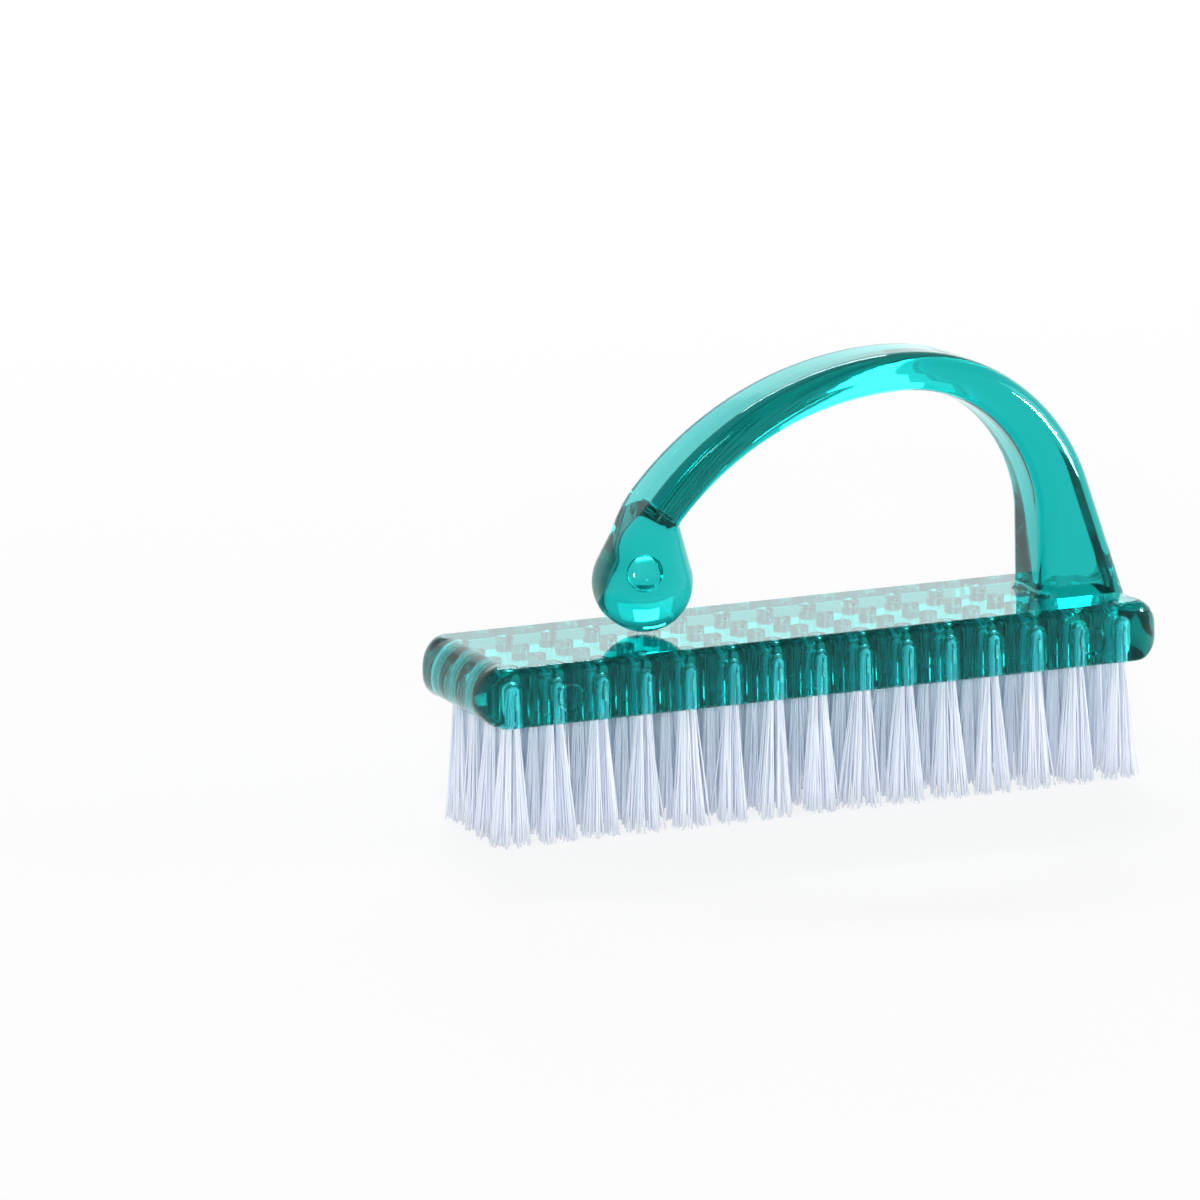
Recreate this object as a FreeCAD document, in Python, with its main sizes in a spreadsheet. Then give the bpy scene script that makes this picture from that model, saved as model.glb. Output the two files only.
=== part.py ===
import FreeCAD, Part
import math
import os
import Sketcher

# Nail brush: a clear moulded block with a looped finger handle, and tufts of nylon
# filament stapled into its underside by strips of flat wire.
# Frame: +Z up, origin on the plane of the bristle tips under the middle of the block,
# +X from the free round end of the handle towards its root, the shown side at -Y.

TUFT_COLUMNS = 15
TUFT_ROWS = 4
# Holes and tufts are many-sided, with a flat towards each neighbour in their row
TUFT_SIDES = 8

# Driving dimensions in millimetres, angles in degrees. Heights called "rise" are measured
# from the underside of the block.
SIZES = {
    # Bristle block
    "block_length": 94.0,
    "block_width": 25.0,
    "block_height": 7.7,
    "block_corner_radius": 3.0,
    "block_top_side_radius": 1.2,
    "block_top_end_radius": 2.6,
    "block_bottom_side_radius": 0.5,
    "block_bottom_end_radius": 1.7,
    # Finger handle, seen from the side
    "handle_width": 11.0,
    "handle_edge_bevel": 1.4,
    "handle_crown_x": 14.5,
    "handle_crown_rise": 41.4,
    "handle_crown_thickness": 5.0,
    "handle_shoulder_radius": 27.0,
    "handle_leg_lean": 18.0,
    "handle_leg_inner_x": 33.2,
    "handle_foot_radius": 1.2,
    "handle_foot_sink": 0.06,
    "handle_root_depth": 2.0,
    # Free round end of the handle
    "bulb_x": -20.3,
    "bulb_radius": 6.3,
    "bulb_clearance": 0.4,
    "bulb_neck_lean": 19.0,
    "bulb_notch_radius": 0.6,
    "bulb_recess_diameter": 4.2,
    "bulb_recess_depth": 2.2,
    "bulb_recess_shift": 1.8,
    "bulb_recess_lift": 2.2,
    # Round ejector marks on the shown side of the block
    "mark_diameter": 3.7,
    "mark_depth": 0.15,
    "mark_rise": 3.3,
    "mark_left_x": -35.3,
    "mark_right_x": 36.7,
    # Tuft holes
    "tuft_end_margin": 5.0,
    "tuft_side_margin": 4.1,
    "hole_diameter": 2.3,
    "hole_depth": 5.6,
    # Tufts
    "bristle_length": 16.0,
    "tuft_tip_diameter": 3.6,
    "tuft_hole_clearance": 0.05,
    "tuft_cleft_width": 0.5,
    "tuft_cleft_drop": 0.9,
    # Flat wire anchors
    "anchor_thickness": 0.3,
    "anchor_width": 2.9,
    "anchor_height": 1.8,
    "anchor_rise": 2.0,
    "anchor_clearance": 0.03,
    # One overrun for all cuts
    "cut_overrun": 1.0,
}

# The tufts fill the block's underside evenly between its margins
PITCHES = {
    "column_pitch": f"=(block_length - 2 * tuft_end_margin) / {TUFT_COLUMNS - 1}",
    "row_pitch": f"=(block_width - 2 * tuft_side_margin) / {TUFT_ROWS - 1}",
}

# How a sketch numbers its own origin and axes, and the points of a curve
START, END, CENTRE = range(1, 4)
HORIZONTAL_AXIS, VERTICAL_AXIS = range(-1, -3, -1)
ROOT_POINT = (HORIZONTAL_AXIS, START)

HALF_TURN = math.degrees(math.pi)
FULL_TURN = 2 * HALF_TURN
HALF_SIDE_TURN = HALF_TURN / TUFT_SIDES

doc = FreeCAD.newDocument("NailBrush")


def add_sizes():
    """Put the driving dimensions and the pitches into the sheet, one alias for each."""
    sheet = doc.addObject("Spreadsheet::Sheet", "Sizes")
    for row, (alias, value) in enumerate({**SIZES, **PITCHES}.items(), start=1):
        sheet.set(f"A{row}", alias)
        sheet.set(f"B{row}", str(value))
        sheet.setAlias(f"B{row}", alias)
    doc.recompute()
    return sheet


sizes = add_sizes()


def size(alias):
    """The value of one driving dimension."""
    return float(sizes.get(alias))


def vector(x, y, z=0.0):
    return FreeCAD.Vector(x, y, z)


def origin_feature(body, role):
    """One of the body's own origin planes or axes."""
    return next(item for item in body.Origin.OriginFeatures if item.Role == role)


def new_body(name):
    return doc.addObject("PartDesign::Body", name)


def new_sketch(body, name, role):
    """A sketch on one of the body's own origin planes."""
    sketch = body.newObject("Sketcher::SketchObject", name)
    sketch.AttachmentSupport = [(origin_feature(body, role), "")]
    sketch.MapMode = "FlatFace"
    return sketch


def dimension(sketch, label, kind, references, expression, start):
    """Add a dimension to a sketch and bind it to the sheet."""
    index = sketch.addConstraint(Sketcher.Constraint(kind, *references, start))
    sketch.renameConstraint(index, label)
    sketch.setExpression(f"Constraints.{label}", expression)


def polar(centre, radius, degrees):
    """The point at an angle on a circle in the sketch plane."""
    turn = math.radians(degrees)
    return centre + vector(radius * math.cos(turn), radius * math.sin(turn))


def arc(centre, radius, start, end):
    """A circular arc in the sketch plane, counter-clockwise between two angles in degrees."""
    circle = Part.Circle(centre, vector(0, 0, 1), radius)
    return Part.ArcOfCircle(circle, math.radians(start), math.radians(end))


def add_polygon(sketch, points):
    """A closed run of lines through points, joined at its corners."""
    for index, point in enumerate(points):
        sketch.addGeometry(Part.LineSegment(point, points[(index + 1) % len(points)]), False)
    for index in range(len(points)):
        following = (index + 1) % len(points)
        sketch.addConstraint(Sketcher.Constraint("Coincident", index, END, following, START))


# Bristle block
def make_block():
    """The block with its rounded corners, softer at the two ends than along the sides."""
    length, width, height = size("block_length"), size("block_width"), size("block_height")
    corner = size("block_corner_radius")
    body = new_body("Block")
    sketch = new_sketch(body, "BlockPlan", "XY_Plane")
    half_x, half_y = length / 2, width / 2
    straight_x, straight_y = half_x - corner, half_y - corner
    plan = [
        Part.LineSegment(vector(-straight_x, -half_y), vector(straight_x, -half_y)),
        arc(vector(straight_x, -straight_y), corner, -90, 0),
        Part.LineSegment(vector(half_x, -straight_y), vector(half_x, straight_y)),
        arc(vector(straight_x, straight_y), corner, 0, 90),
        Part.LineSegment(vector(straight_x, half_y), vector(-straight_x, half_y)),
        arc(vector(-straight_x, straight_y), corner, 90, 180),
        Part.LineSegment(vector(-half_x, straight_y), vector(-half_x, -straight_y)),
        arc(vector(-straight_x, -straight_y), corner, 180, 270),
    ]
    for curve in plan:
        sketch.addGeometry(curve, False)
    for index in range(len(plan)):
        following = (index + 1) % len(plan)
        sketch.addConstraint(Sketcher.Constraint("Tangent", index, END, following, START))
    for index in (0, 4):
        sketch.addConstraint(Sketcher.Constraint("Horizontal", index))
    for index in (2, 6):
        sketch.addConstraint(Sketcher.Constraint("Vertical", index))
    for index in (3, 5, 7):
        sketch.addConstraint(Sketcher.Constraint("Equal", 1, index))
    dimension(sketch, "corner", "Radius", (1,), "Sizes.block_corner_radius", corner)
    dimension(sketch, "right", "DistanceX", (*ROOT_POINT, 2, START), "Sizes.block_length / 2", half_x)
    dimension(sketch, "left", "DistanceX", (6, START, *ROOT_POINT), "Sizes.block_length / 2", half_x)
    dimension(sketch, "back", "DistanceY", (*ROOT_POINT, 4, START), "Sizes.block_width / 2", half_y)
    dimension(sketch, "front", "DistanceY", (0, START, *ROOT_POINT), "Sizes.block_width / 2", half_y)
    pad = body.newObject("PartDesign::Pad", "BlockPad")
    pad.Profile = sketch
    pad.setExpression("Length", "Sizes.block_height")
    doc.recompute()

    rounded = doc.addObject("Part::Fillet", "BlockRounded")
    rounded.Base = body
    edges = []
    for number, edge in enumerate(body.Shape.Edges, start=1):
        ends = [vertex.Point for vertex in edge.Vertexes]
        if any(abs(point.z - ends[0].z) > Part.Precision.confusion() for point in ends):
            continue
        level = "top" if ends[0].z > height / 2 else "bottom"
        radii = []
        for point in ends:
            on_side = half_y - abs(point.y) < corner / 2
            radii.append(size(f"block_{level}_{'side' if on_side else 'end'}_radius"))
        edges.append((number, radii[0], radii[1]))
    rounded.Edges = edges
    return rounded


# Finger handle
def handle_outline():
    """Where the arcs and lines of the handle's side outline meet, worked out from its sizes."""
    crown = vector(size("handle_crown_x"), size("handle_crown_rise"))
    inner_crown = crown - vector(0, size("handle_crown_thickness"))
    bulb_radius = size("bulb_radius")
    block_top = size("block_height")
    bulb = vector(size("bulb_x"), block_top + size("bulb_clearance") + bulb_radius)
    # The outer back arc runs over the crown and touches the bulb from outside.
    across = crown.x - bulb.x
    above = crown.y - bulb.y
    back_radius = (across**2 + above**2 - bulb_radius**2) / (2 * (above - bulb_radius))
    back_centre = crown - vector(0, back_radius)
    back_end = math.degrees(math.atan2(bulb.y - back_centre.y, bulb.x - back_centre.x))
    inner_back_radius = back_radius - size("handle_crown_thickness")
    # The neck line touches the bulb and leans towards the handle's inner arc.
    neck_lean = size("bulb_neck_lean")
    neck_start = polar(bulb, bulb_radius, neck_lean)
    neck_direction = vector(-math.sin(math.radians(neck_lean)), math.cos(math.radians(neck_lean)))
    # The small notch arc touches the neck line and the inner arc, both from the open side.
    notch_radius = size("bulb_notch_radius")
    line_side = neck_start + polar(vector(0, 0), notch_radius, neck_lean)
    ring_radius = inner_back_radius - notch_radius
    offset = line_side - back_centre
    along = offset.dot(neck_direction)
    reach = -along + math.sqrt(along**2 - offset.dot(offset) + ring_radius**2)
    notch = line_side + neck_direction * reach
    notch_end = math.degrees(math.atan2(notch.y - back_centre.y, notch.x - back_centre.x))
    # The outer leg line touches the shoulder arc and leans outwards down to the block.
    shoulder_radius = size("handle_shoulder_radius")
    shoulder = crown - vector(0, shoulder_radius)
    lean = size("handle_leg_lean")
    leg_top = polar(shoulder, shoulder_radius, lean)
    root_rise = block_top - size("handle_root_depth")
    root = vector(leg_top.x + (leg_top.y - root_rise) * math.tan(math.radians(lean)), root_rise)
    # The inner leg line stands upright and flares into the block at its foot.
    leg_x = size("handle_leg_inner_x")
    inner_radius = leg_x - crown.x
    inner_centre = inner_crown - vector(0, inner_radius)
    foot_radius = size("handle_foot_radius")
    foot = vector(leg_x - foot_radius, block_top - size("handle_foot_sink") + foot_radius)
    return [
        arc(back_centre, back_radius, 90, back_end),
        arc(bulb, bulb_radius, back_end, FULL_TURN + neck_lean),
        Part.LineSegment(neck_start, neck_start + neck_direction * reach),
        arc(notch, notch_radius, notch_end, HALF_TURN + neck_lean),
        arc(back_centre, inner_back_radius, 90, notch_end),
        arc(inner_centre, inner_radius, 0, 90),
        Part.LineSegment(inner_centre + vector(inner_radius, 0), vector(leg_x, foot.y)),
        arc(foot, foot_radius, -90, 0),
        Part.LineSegment(foot - vector(0, foot_radius), vector(foot.x, root_rise)),
        Part.LineSegment(vector(foot.x, root_rise), root),
        Part.LineSegment(root, leg_top),
        arc(shoulder, shoulder_radius, lean, 90),
    ]


def make_handle():
    """The open loop of the handle, padded to both sides of its middle plane."""
    body = new_body("Handle")
    sketch = new_sketch(body, "HandleSide", "XZ_Plane")
    outline = handle_outline()
    for curve in outline:
        sketch.addGeometry(curve, False)
    back, bulb, neck, notch, inner_back, inner_front = range(6)
    leg, foot, tip, base, outer_leg, shoulder = range(6, len(outline))
    smooth_joints = [
        (back, END, bulb, START),
        (bulb, END, neck, START),
        (neck, END, notch, END),
        (notch, START, inner_back, END),
        (inner_front, START, leg, START),
        (leg, END, foot, END),
        (outer_leg, END, shoulder, START),
    ]
    corner_joints = [
        (inner_back, START, inner_front, END),
        (foot, START, tip, START),
        (tip, END, base, START),
        (base, END, outer_leg, START),
        (shoulder, END, back, START),
        (back, CENTRE, inner_back, CENTRE),
    ]
    for joint in smooth_joints:
        sketch.addConstraint(Sketcher.Constraint("Tangent", *joint))
    for joint in corner_joints:
        sketch.addConstraint(Sketcher.Constraint("Coincident", *joint))
    for line in (leg, tip):
        sketch.addConstraint(Sketcher.Constraint("Vertical", line))
    sketch.addConstraint(Sketcher.Constraint("Horizontal", base))
    crown_x, crown_rise = size("handle_crown_x"), size("handle_crown_rise")
    for label, curve, point in (("crown", back, START), ("back", back, CENTRE), ("shoulder", shoulder, CENTRE),
                                ("inner", inner_back, START), ("front", inner_front, CENTRE)):
        places = (*ROOT_POINT, curve, point)
        dimension(sketch, f"{label}_x", "DistanceX", places, "Sizes.handle_crown_x", crown_x)
    dimension(sketch, "crown_rise", "DistanceY", (*ROOT_POINT, back, START),
              "Sizes.handle_crown_rise", crown_rise)
    dimension(sketch, "thickness", "DistanceY", (inner_back, START, back, START),
              "Sizes.handle_crown_thickness", size("handle_crown_thickness"))
    dimension(sketch, "shoulder_radius", "Radius", (shoulder,),
              "Sizes.handle_shoulder_radius", size("handle_shoulder_radius"))
    dimension(sketch, "leg_lean", "Angle", (outer_leg,),
              "90 deg + Sizes.handle_leg_lean * 1 deg", math.radians(90 + size("handle_leg_lean")))
    dimension(sketch, "leg_x", "DistanceX", (*ROOT_POINT, leg, START),
              "Sizes.handle_leg_inner_x", size("handle_leg_inner_x"))
    dimension(sketch, "foot_radius", "Radius", (foot,), "Sizes.handle_foot_radius", size("handle_foot_radius"))
    dimension(sketch, "foot_rise", "DistanceY", (*ROOT_POINT, foot, START),
              "Sizes.block_height - Sizes.handle_foot_sink", size("block_height") - size("handle_foot_sink"))
    dimension(sketch, "root_rise", "DistanceY", (*ROOT_POINT, base, START),
              "Sizes.block_height - Sizes.handle_root_depth", size("block_height") - size("handle_root_depth"))
    dimension(sketch, "bulb_x", "DistanceX", (bulb, CENTRE, *ROOT_POINT), "-Sizes.bulb_x", -size("bulb_x"))
    dimension(sketch, "bulb_rise", "DistanceY", (*ROOT_POINT, bulb, CENTRE),
              "Sizes.block_height + Sizes.bulb_clearance + Sizes.bulb_radius",
              size("block_height") + size("bulb_clearance") + size("bulb_radius"))
    dimension(sketch, "bulb_radius", "Radius", (bulb,), "Sizes.bulb_radius", size("bulb_radius"))
    dimension(sketch, "neck_lean", "Angle", (neck,),
              "90 deg + Sizes.bulb_neck_lean * 1 deg", math.radians(90 + size("bulb_neck_lean")))
    dimension(sketch, "notch_radius", "Radius", (notch,), "Sizes.bulb_notch_radius", size("bulb_notch_radius"))
    pad = body.newObject("PartDesign::Pad", "HandlePad")
    pad.Profile = sketch
    pad.Midplane = True
    pad.setExpression("Length", "Sizes.handle_width")
    doc.recompute()

    bevel = body.newObject("PartDesign::Chamfer", "HandleEdges")
    half_width = size("handle_width") / 2
    foot_rise = size("block_height") - size("handle_foot_sink")
    names = []
    for number, edge in enumerate(pad.Shape.Edges, start=1):
        box = edge.BoundBox
        on_face = abs(abs(box.YMin) - half_width) < Part.Precision.confusion() and box.YLength < half_width
        if on_face and box.ZMax > foot_rise + Part.Precision.confusion():
            names.append(f"Edge{number}")
    bevel.Base = (pad, names)
    bevel.setExpression("Size", "Sizes.handle_edge_bevel")
    return body


# Shallow round marks and the recess in the bulb
def make_marks():
    """The tools that cut the two ejector marks and the recess into the shown side."""
    turn_inwards = FreeCAD.Rotation(vector(1, 0, 0), -90)
    tools = []
    for name in ("left", "right"):
        mark = doc.addObject("Part::Cylinder", f"Mark_{name}")
        mark.setExpression("Radius", "Sizes.mark_diameter / 2")
        mark.setExpression("Height", "Sizes.mark_depth + Sizes.cut_overrun")
        mark.Placement = FreeCAD.Placement(vector(0, 0), turn_inwards)
        mark.setExpression("Placement.Base.x", f"Sizes.mark_{name}_x")
        mark.setExpression("Placement.Base.y", "-Sizes.block_width / 2 - Sizes.cut_overrun")
        mark.setExpression("Placement.Base.z", "Sizes.mark_rise")
        tools.append(mark)
    recess = doc.addObject("Part::Cylinder", "BulbRecess")
    recess.setExpression("Radius", "Sizes.bulb_recess_diameter / 2")
    recess.setExpression("Height", "Sizes.bulb_recess_depth + Sizes.cut_overrun")
    recess.Placement = FreeCAD.Placement(vector(0, 0), turn_inwards)
    recess.setExpression("Placement.Base.x", "Sizes.bulb_x - Sizes.bulb_recess_shift")
    recess.setExpression("Placement.Base.y", "-Sizes.handle_width / 2 - Sizes.cut_overrun")
    recess.setExpression("Placement.Base.z", "Sizes.block_height + Sizes.bulb_clearance"
                         " + Sizes.bulb_radius + Sizes.bulb_recess_lift")
    tools.append(recess)
    return tools


def repeat_along(body, role, count, pitch):
    """Repeat the whole body along one of its own axes, by a pitch from the sheet."""
    pattern = body.newObject("PartDesign::LinearPattern", f"{body.Name}Along{role[0]}")
    pattern.TransformMode = "Whole shape"
    pattern.Direction = (origin_feature(body, role), [""])
    pattern.Mode = "Spacing"
    pattern.Occurrences = count
    pattern.setExpression("Offset", f"Sizes.{pitch}")
    body.Tip = pattern
    doc.recompute()


def first_place(pitch, count):
    """The expression for the place of the first of a centred run of tufts."""
    return f"-Sizes.{pitch} * {(count - 1) / 2}"


def add_prism(body, name, flats, height, rise):
    """A many-sided prism about the body's own Z axis, its width across flats from the sheet."""
    prism = body.newObject("PartDesign::AdditivePrism", f"{body.Name}{name}")
    prism.Polygon = TUFT_SIDES
    prism.Placement = FreeCAD.Placement(vector(0, 0), FreeCAD.Rotation(vector(0, 0, 1), HALF_SIDE_TURN))
    prism.setExpression("Circumradius", f"({flats}) / 2 / cos({HALF_SIDE_TURN} deg)")
    prism.setExpression("Height", height)
    prism.setExpression("Placement.Base.z", rise)
    doc.recompute()
    return prism


def add_upright_strip(body, name, clearance, height, rise):
    """A strip of the anchor's thickness and width with a clearance all round, standing on edge."""
    strip = body.newObject("PartDesign::AdditiveBox", f"{body.Name}{name}")
    strip.setExpression("Length", f"Sizes.anchor_thickness + 2 * {clearance}")
    strip.setExpression("Width", f"Sizes.anchor_width + 2 * {clearance}")
    strip.setExpression("Height", height)
    strip.setExpression("Placement.Base.x", f"-(Sizes.anchor_thickness / 2 + {clearance})")
    strip.setExpression("Placement.Base.y", f"-(Sizes.anchor_width / 2 + {clearance})")
    strip.setExpression("Placement.Base.z", rise)
    doc.recompute()


# Tuft holes
def make_holes():
    """The blind tuft holes with the slots that the anchors' ends cut into their walls."""
    body = new_body("Holes")
    add_prism(body, "Bore", "Sizes.hole_diameter", "Sizes.hole_depth + Sizes.cut_overrun", "-Sizes.cut_overrun")
    slot_height = "Sizes.cut_overrun + Sizes.anchor_rise + Sizes.anchor_height + Sizes.anchor_clearance"
    add_upright_strip(body, "Slot", "Sizes.anchor_clearance", slot_height, "-Sizes.cut_overrun")
    repeat_along(body, "Y_Axis", TUFT_ROWS, "row_pitch")
    repeat_along(body, "X_Axis", TUFT_COLUMNS, "column_pitch")
    body.setExpression("Placement.Base.x", first_place("column_pitch", TUFT_COLUMNS))
    body.setExpression("Placement.Base.y", first_place("row_pitch", TUFT_ROWS))
    return body


# Brush body
def make_brush_body():
    """The one-piece moulding: block and handle together, with its marks and tuft holes cut."""
    moulding = doc.addObject("Part::Fuse", "Moulding")
    moulding.Base = make_block()
    moulding.Tool = make_handle()
    cutters = doc.addObject("Part::Compound", "Cutters")
    cutters.Links = [*make_marks(), make_holes()]
    body = doc.addObject("Part::Cut", "brush_body")
    body.Base = moulding
    body.Tool = cutters
    body.setExpression("Placement.Base.z", "Sizes.bristle_length")
    return body


# Bristle tufts
def make_tuft_row(column):
    """One row of tufts across the block: each folded over its anchor and spreading to its tip."""
    body = new_body(f"tuft_row_{column + 1:02d}")
    shank = "Sizes.hole_diameter - 2 * Sizes.tuft_hole_clearance"
    free_length = add_prism(body, "FreeLength", shank, "Sizes.bristle_length", "-Sizes.bristle_length")
    spread = body.newObject("PartDesign::Draft", f"{body.Name}Spread")
    sides = [number for number, face in enumerate(free_length.Shape.Faces, start=1)
             if abs(face.normalAt(0, 0).z) < Part.Precision.confusion()]
    spread.Base = (free_length, [f"Face{number}" for number in sides])
    spread.NeutralPlane = (origin_feature(body, "XY_Plane"), [""])
    spread.Reversed = True
    spread.setExpression("Angle", f"atan((Sizes.tuft_tip_diameter - ({shank})) / 2 / Sizes.bristle_length)")
    doc.recompute()
    add_prism(body, "Shank", shank, "Sizes.hole_depth - Sizes.tuft_hole_clearance", "0")

    # The cleft between the two legs holds the anchor and closes just below the block.
    profile = new_sketch(body, f"{body.Name}Cleft", "XZ_Plane")
    slot = size("anchor_thickness") / 2 + size("anchor_clearance")
    top = size("anchor_rise") + size("anchor_height") + size("anchor_clearance")
    mouth, drop = size("tuft_cleft_width") / 2, size("tuft_cleft_drop")
    corners = [(-slot, top), (-mouth, 0), (0, -drop), (mouth, 0), (slot, top)]
    add_polygon(profile, [vector(x, rise) for x, rise in corners])
    profile.addConstraint(Sketcher.Constraint("PointOnObject", 2, START, VERTICAL_AXIS))
    for left, right in ((0, 4), (1, 3)):
        profile.addConstraint(Sketcher.Constraint("Symmetric", left, START, right, START, VERTICAL_AXIS))
    profile.addConstraint(Sketcher.Constraint("PointOnObject", 1, START, HORIZONTAL_AXIS))
    dimension(profile, "slot", "DistanceX", (0, START, 4, START),
              "Sizes.anchor_thickness + 2 * Sizes.anchor_clearance", 2 * slot)
    dimension(profile, "mouth", "DistanceX", (1, START, 3, START), "Sizes.tuft_cleft_width", 2 * mouth)
    dimension(profile, "drop", "DistanceY", (2, START, *ROOT_POINT), "Sizes.tuft_cleft_drop", drop)
    dimension(profile, "top", "DistanceY", (*ROOT_POINT, 0, START),
              "Sizes.anchor_rise + Sizes.anchor_height + Sizes.anchor_clearance", top)
    cleft = body.newObject("PartDesign::Pocket", f"{body.Name}Split")
    cleft.Profile = profile
    cleft.Midplane = True
    cleft.setExpression("Length", "Sizes.tuft_tip_diameter + Sizes.cut_overrun")
    doc.recompute()
    repeat_along(body, "Y_Axis", TUFT_ROWS, "row_pitch")
    return body


# Flat wire anchors
def make_anchor_row(column):
    """One row of flat wire strips across the block, each standing upright in its tuft's cleft."""
    body = new_body(f"anchor_row_{column + 1:02d}")
    add_upright_strip(body, "Strip", "0", "Sizes.anchor_height", "Sizes.anchor_rise")
    repeat_along(body, "Y_Axis", TUFT_ROWS, "row_pitch")
    return body


def place_in_column(body, column):
    """Set a row of tufts or anchors into its column of holes."""
    body.setExpression("Placement.Base.x", f"Sizes.column_pitch * {column - (TUFT_COLUMNS - 1) / 2}")
    body.setExpression("Placement.Base.y", first_place("row_pitch", TUFT_ROWS))
    body.setExpression("Placement.Base.z", "Sizes.bristle_length")


def check(items, sub_parts):
    """Stop if an object failed, or if a sub-part isn't made of sound solids."""
    for item in items:
        if "Invalid" in item.State or "Error" in item.State:
            raise RuntimeError(f"{item.Name} failed: {item.getStatusString()}")
    for item in sub_parts:
        if item.Shape.isNull() or not item.Shape.isValid() or not item.Shape.Solids:
            raise RuntimeError(f"{item.Label} has no valid shape")


def main():
    sub_parts = [make_brush_body()]
    for column in range(TUFT_COLUMNS):
        for row in (make_tuft_row(column), make_anchor_row(column)):
            place_in_column(row, column)
            sub_parts.append(row)
    doc.recompute()
    check(doc.Objects, sub_parts)
    os.makedirs("parts", exist_ok=True)
    for item in sub_parts:
        item.Shape.exportStep(f"parts/{item.Label}.step")
        print(item.Label, len(item.Shape.Solids), "solids,", round(item.Shape.Volume, 2), "mm3")


main()
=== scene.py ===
"""Looks of a clear teal nail brush: a polished moulding with a finger loop, and tufts of nylon filament."""

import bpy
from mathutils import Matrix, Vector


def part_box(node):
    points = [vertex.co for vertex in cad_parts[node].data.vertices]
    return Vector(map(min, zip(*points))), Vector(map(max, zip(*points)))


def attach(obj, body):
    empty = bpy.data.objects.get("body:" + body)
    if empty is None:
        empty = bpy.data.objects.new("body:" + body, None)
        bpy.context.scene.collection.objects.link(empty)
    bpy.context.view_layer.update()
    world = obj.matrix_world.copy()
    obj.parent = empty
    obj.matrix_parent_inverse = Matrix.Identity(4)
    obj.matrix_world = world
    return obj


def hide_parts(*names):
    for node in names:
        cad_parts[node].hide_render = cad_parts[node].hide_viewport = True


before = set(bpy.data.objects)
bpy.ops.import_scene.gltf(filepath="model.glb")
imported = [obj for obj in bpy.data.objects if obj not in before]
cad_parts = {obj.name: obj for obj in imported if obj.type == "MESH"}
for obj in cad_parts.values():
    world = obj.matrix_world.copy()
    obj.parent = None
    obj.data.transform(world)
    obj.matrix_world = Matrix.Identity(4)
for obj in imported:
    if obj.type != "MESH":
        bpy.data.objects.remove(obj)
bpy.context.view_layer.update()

import logging
import math
import random
from dataclasses import dataclass
from enum import Enum

import bmesh
import bpy
from mathutils import Matrix, Vector

log = logging.getLogger("nail_brush")

MM = 0.001
BODY = "root"
QUARTER = math.pi / 2
WHITE = (1.0, 1.0, 1.0, 1.0)

Point2 = tuple[float, float]
Colour = tuple[float, float, float, float]


class Slot(Enum):
    """The record's material slot names; the pieces built here are not given them."""

    CLEAR_PLASTIC = "clear_plastic"
    NYLON = "nylon_filament"


class Kind(Enum):
    """Socket kinds of a node group."""

    VALUE = "NodeSocketFloat"
    VECTOR = "NodeSocketVector"


class Reach(Enum):
    """What a lamp shows in."""

    ALL = "all"
    GLOSS = "gloss"
    MATT = "matt"


# Shared shader effects


class EffectGroup:
    """A shader node group that is built once and placed in several materials."""

    def __init__(self, name: str) -> None:
        """Start an empty group with its input and output nodes.

        Args:
            name: The group's name.
        """
        self.tree = bpy.data.node_groups.new(name, "ShaderNodeTree")
        self.inside = self.tree.nodes.new("NodeGroupInput")
        self.outside = self.tree.nodes.new("NodeGroupOutput")

    def add_input(self, name: str, kind: Kind, default: float | None = None) -> None:
        """Give the group a named input.

        Args:
            name: The socket's name.
            kind: The socket's kind.
            default: The value that it starts with, for a value socket.
        """
        socket = self.tree.interface.new_socket(name, in_out="INPUT", socket_type=kind.value)
        if default is not None:
            socket.default_value = default

    def add_output(self, name: str, kind: Kind, source: bpy.types.NodeSocket) -> None:
        """Give the group a named output.

        Args:
            name: The socket's name.
            kind: The socket's kind.
            source: The socket inside the group that feeds it.
        """
        self.tree.interface.new_socket(name, in_out="OUTPUT", socket_type=kind.value)
        self.tree.links.new(source, self.outside.inputs[name])


def add_node(tree: bpy.types.NodeTree, kind: str, **settings: object) -> bpy.types.Node:
    """Add a node to a tree.

    Args:
        tree: The material's, world's or group's tree.
        kind: The node's type.
        settings: Attributes of the node, such as its operation.

    Returns:
        The new node.
    """
    node = tree.nodes.new(kind)
    for name, value in settings.items():
        setattr(node, name, value)
    return node


def add_range(tree: bpy.types.NodeTree, value: bpy.types.NodeSocket,
              taken: Point2 = (0.0, 1.0), given: Point2 = (0.0, 1.0)) -> bpy.types.NodeSocket:
    """Stretch one range of values into another.

    Args:
        tree: The tree that gets the node.
        value: The value that is stretched.
        taken: The range that it comes from.
        given: The range that it becomes.

    Returns:
        The socket with the stretched value.
    """
    node = add_node(tree, "ShaderNodeMapRange")
    node.inputs["From Min"].default_value, node.inputs["From Max"].default_value = taken
    node.inputs["To Min"].default_value, node.inputs["To Max"].default_value = given
    tree.links.new(value, node.inputs["Value"])
    return node.outputs["Result"]


def add_share(tree: bpy.types.NodeTree, value: bpy.types.NodeSocket, share: float,
              base: bpy.types.NodeSocket) -> bpy.types.NodeSocket:
    """Add a share of one value to another.

    Args:
        tree: The tree that gets the node.
        value: The value that is added.
        share: How much of it.
        base: The value that it is added to.

    Returns:
        The socket with the sum.
    """
    node = add_node(tree, "ShaderNodeMath", operation="MULTIPLY_ADD")
    node.inputs[1].default_value = share
    tree.links.new(value, node.inputs[0])
    tree.links.new(base, node.inputs[2])
    return node.outputs["Value"]


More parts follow.
